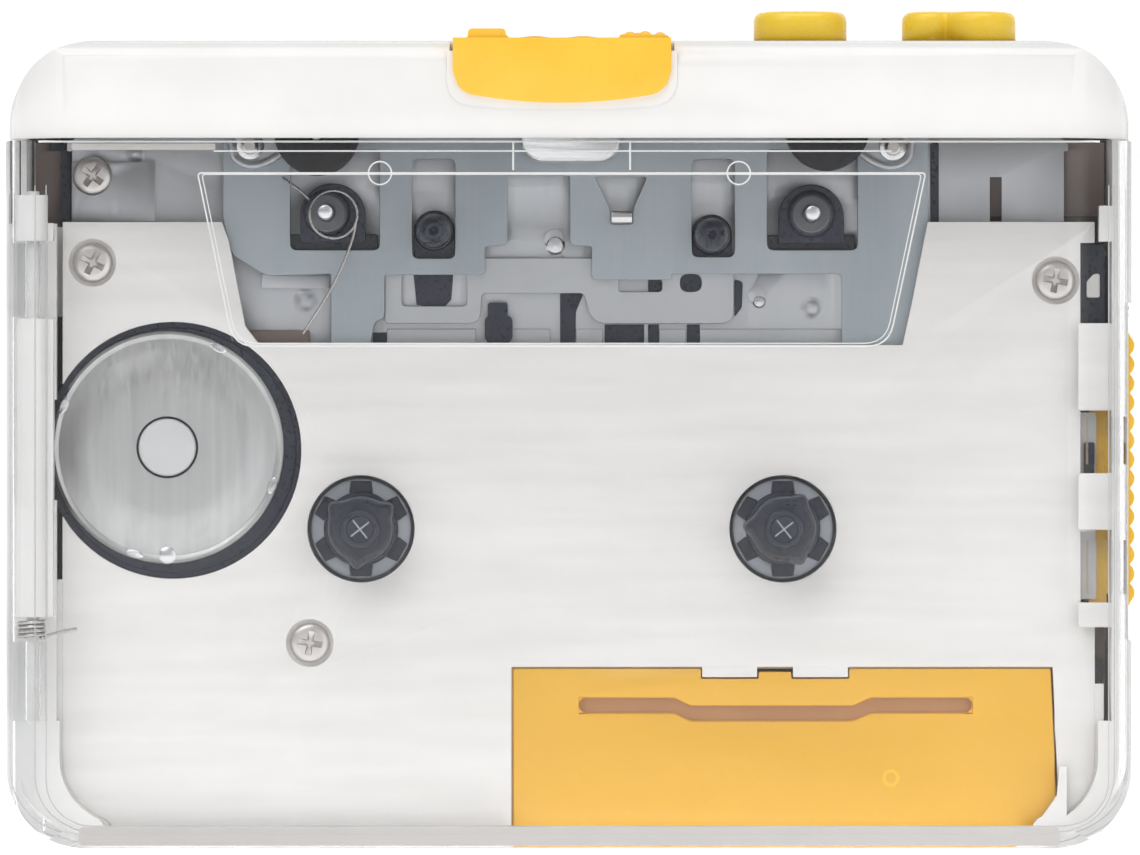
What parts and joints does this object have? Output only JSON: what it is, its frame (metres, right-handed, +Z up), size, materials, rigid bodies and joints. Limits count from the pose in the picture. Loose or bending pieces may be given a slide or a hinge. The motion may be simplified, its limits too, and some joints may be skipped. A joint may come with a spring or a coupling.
{
  "type": "cassette player",
  "caption": "Pocket auto-reverse cassette player with a clear hinged front door, yellow keys on top and a belt-driven two-way tape drive inside.",
  "frame": {"origin": "middle of the footprint, on the surface the player stands on", "axes": "+X to the right seen from the front, +Y towards the back, +Z up towards the keys"},
  "size_m": [0.1134, 0.0333, 0.0842],
  "materials": {
    "white_shell": "glossy white moulded shell",
    "bay_white": "fine satin moulding",
    "clear_door": "clear polished polycarbonate",
    "yellow": "smooth yellow moulding",
    "black_plastic": "satin black moulding",
    "grey_plastic": "light grey acetal",
    "plate_steel": "pale nickel-plated sheet",
    "zinc_steel": "zinc-plated pressing with a faint grain",
    "bright_steel": "bright ground steel",
    "motor_steel": "brushed nickel-plated can",
    "spring_wire": "drawn spring wire",
    "screw_steel": "nickel-plated screws",
    "brass": "turned brass",
    "rubber": "ground rubber",
    "board": "brown phenolic board",
    "cell_wrap": "plain wrapped cells"
  },
  "bodies": {
    "case": {"top_cover": "white_shell", "mid_case": "white_shell", "rear_cover": "white_shell", "bay_panel": "bay_white", "hinge_pin": "bay_white", "hinge_spring": "spring_wire", "battery_tray": "black_plastic", "battery_spring": "spring_wire", "battery_contact": "bright_steel", "battery_cells": "cell_wrap", "latch_spring": "spring_wire", "volume_pot": "board", "headphone_jack": "black_plastic", "jack_board": "board", "volume_board": "board", "circuit_board": "board", "board_components": "black_plastic", "mechanism_frame": "black_plastic", "base_plate": "plate_steel", "leaf_switch": "black_plastic", "guide_posts": "black_plastic", "capstan_bushes": "black_plastic", "pinch_spring": "spring_wire", "arm_pivots": "bright_steel", "thrust_plate": "zinc_steel", "motor_can": "motor_steel", "main_belt": "rubber", "reel_belt": "rubber", "reel_bridge": "plate_steel", "front_screws": "screw_steel", "case_screws": "screw_steel"},
    "door": {"door": "clear_door"},
    "battery_cover": {"battery_cover": "yellow"},
    "latch_slider": {"latch_slider": "yellow"},
    "stop_key": {"stop_key": "yellow", "stop_key_spring": "spring_wire"},
    "play_key": {"play_key": "yellow", "play_key_spring": "spring_wire"},
    "seek_rocker": {"seek_rocker": "yellow"},
    "volume_wheel": {"volume_wheel": "black_plastic"},
    "head_carriage": {"head_plate": "zinc_steel", "tape_head": "bright_steel"},
    "reverse_lever": {"reverse_lever": "plate_steel", "lever_blocks": "black_plastic"},
    "pinch_arm_left": {"pinch_arm_left": "zinc_steel"},
    "pinch_arm_right": {"pinch_arm_right": "zinc_steel"},
    "pinch_roller_left": {"pinch_roller_left": "rubber"},
    "pinch_roller_right": {"pinch_roller_right": "rubber"},
    "capstan_left": {"capstan_left": "bright_steel", "flywheel_left": "brass"},
    "capstan_right": {"capstan_right": "bright_steel", "flywheel_right": "brass"},
    "motor_pulley": {"motor_pulley": "brass"},
    "clutch_pulley": {"clutch_pulley": "grey_plastic"},
    "swing_arm": {"swing_arm": "plate_steel"},
    "idler_wheel": {"idler_wheel": "rubber"},
    "reel_left": {"reel_left": "grey_plastic", "spindle_left": "black_plastic"},
    "reel_right": {"reel_right": "grey_plastic", "spindle_right": "black_plastic"}
  },
  "joints": [
    {"name": "door_swing", "type": "hinge", "parent": "case", "child": "door", "pos_m": [-0.0536, -0.0095, 0.04], "axis": [0, 0, -1], "range_deg": [0, 90]},
    {"name": "battery_cover_slide", "type": "slide", "parent": "case", "child": "battery_cover", "axis": [0, 0, -1], "range_m": [0, 0.02]},
    {"name": "latch_slide", "type": "slide", "parent": "case", "child": "latch_slider", "axis": [0, 0, -1], "range_m": [0, 0.003], "stiffness_N_per_m": 200, "springref_m": -0.002},
    {"name": "stop_key_press", "type": "slide", "parent": "case", "child": "stop_key", "axis": [0, 0, -1], "range_m": [0, 0.0026], "stiffness_N_per_m": 300, "springref_m": -0.002},
    {"name": "head_slide", "type": "slide", "parent": "case", "child": "head_carriage", "axis": [0, 0, -1], "range_m": [0, 0.0026], "stiffness_N_per_m": 500, "springref_m": -0.002},
    {"name": "play_key_press", "type": "slide", "parent": "case", "child": "play_key", "axis": [0, 0, -1], "range_m": [0, 0.0026]},
    {"name": "seek_rock", "type": "hinge", "parent": "case", "child": "seek_rocker", "pos_m": [-0.0007, -0.0155, 0.0763], "axis": [0, 1, 0], "range_deg": [-3, 3], "stiffness_Nm_per_rad": 0.05},
    {"name": "volume_turn", "type": "hinge", "parent": "case", "child": "volume_wheel", "pos_m": [0.0483, 0, 0.0542], "axis": [0, 1, 0], "range_deg": [-150, 150]},
    {"name": "reverse_slide", "type": "slide", "parent": "case", "child": "reverse_lever", "axis": [1, 0, 0], "range_m": [0, 0.0015]},
    {"name": "pinch_swing_left", "type": "hinge", "parent": "case", "child": "pinch_arm_left", "pos_m": [-0.0321, 0, 0.0704], "axis": [0, 1, 0], "range_deg": [0, 20]},
    {"name": "pinch_swing_right", "type": "hinge", "parent": "case", "child": "pinch_arm_right", "pos_m": [0.0326, 0, 0.0703], "axis": [0, -1, 0], "range_deg": [0, 25.5]},
    {"name": "roller_spin_left", "type": "hinge", "parent": "pinch_arm_left", "child": "pinch_roller_left", "pos_m": [-0.0253, 0, 0.0716], "axis": [0, 1, 0], "continuous": true},
    {"name": "roller_spin_right", "type": "hinge", "parent": "pinch_arm_right", "child": "pinch_roller_right", "pos_m": [0.0259, 0, 0.0721], "axis": [0, 1, 0], "continuous": true},
    {"name": "capstan_spin_right", "type": "hinge", "parent": "case", "child": "capstan_right", "pos_m": [0.0244, 0, 0.0636], "axis": [0, 1, 0], "continuous": true},
    {"name": "capstan_spin_left", "type": "hinge", "parent": "case", "child": "capstan_left", "pos_m": [-0.0244, 0, 0.0637], "axis": [0, 1, 0], "continuous": true},
    {"name": "motor_spin", "type": "hinge", "parent": "case", "child": "motor_pulley", "pos_m": [-0.0405, 0, 0.0401], "axis": [0, 1, 0], "continuous": true},
    {"name": "clutch_spin", "type": "hinge", "parent": "case", "child": "clutch_pulley", "pos_m": [0.0003, 0, 0.04915], "axis": [0, 1, 0], "continuous": true},
    {"name": "arm_swing", "type": "hinge", "parent": "case", "child": "swing_arm", "pos_m": [0.0003, 0, 0.04915], "axis": [0, 1, 0], "range_deg": [-3.2, 3.2]},
    {"name": "idler_spin", "type": "hinge", "parent": "swing_arm", "child": "idler_wheel", "pos_m": [0.0003, 0, 0.0319], "axis": [0, 1, 0], "continuous": true},
    {"name": "reel_spin_left", "type": "hinge", "parent": "case", "child": "reel_left", "pos_m": [-0.02095, 0, 0.0319], "axis": [0, 1, 0], "continuous": true},
    {"name": "reel_spin_right", "type": "hinge", "parent": "case", "child": "reel_right", "pos_m": [0.02155, 0, 0.0319], "axis": [0, 1, 0], "continuous": true}
  ],
  "couplings": [
    {"joint": "play_key_press", "follows": "head_slide", "ratio": 1},
    {"joint": "pinch_swing_left", "follows": "head_slide", "rad_per_m": 134.2},
    {"joint": "pinch_swing_right", "follows": "head_slide", "rad_per_m": 171.1},
    {"joint": "capstan_spin_left", "follows": "capstan_spin_right", "ratio": -1},
    {"joint": "motor_spin", "follows": "capstan_spin_right", "ratio": 5.5455},
    {"joint": "clutch_spin", "follows": "capstan_spin_right", "ratio": 0.5},
    {"joint": "idler_spin", "follows": "capstan_spin_right", "ratio": -0.2679}
  ]
}
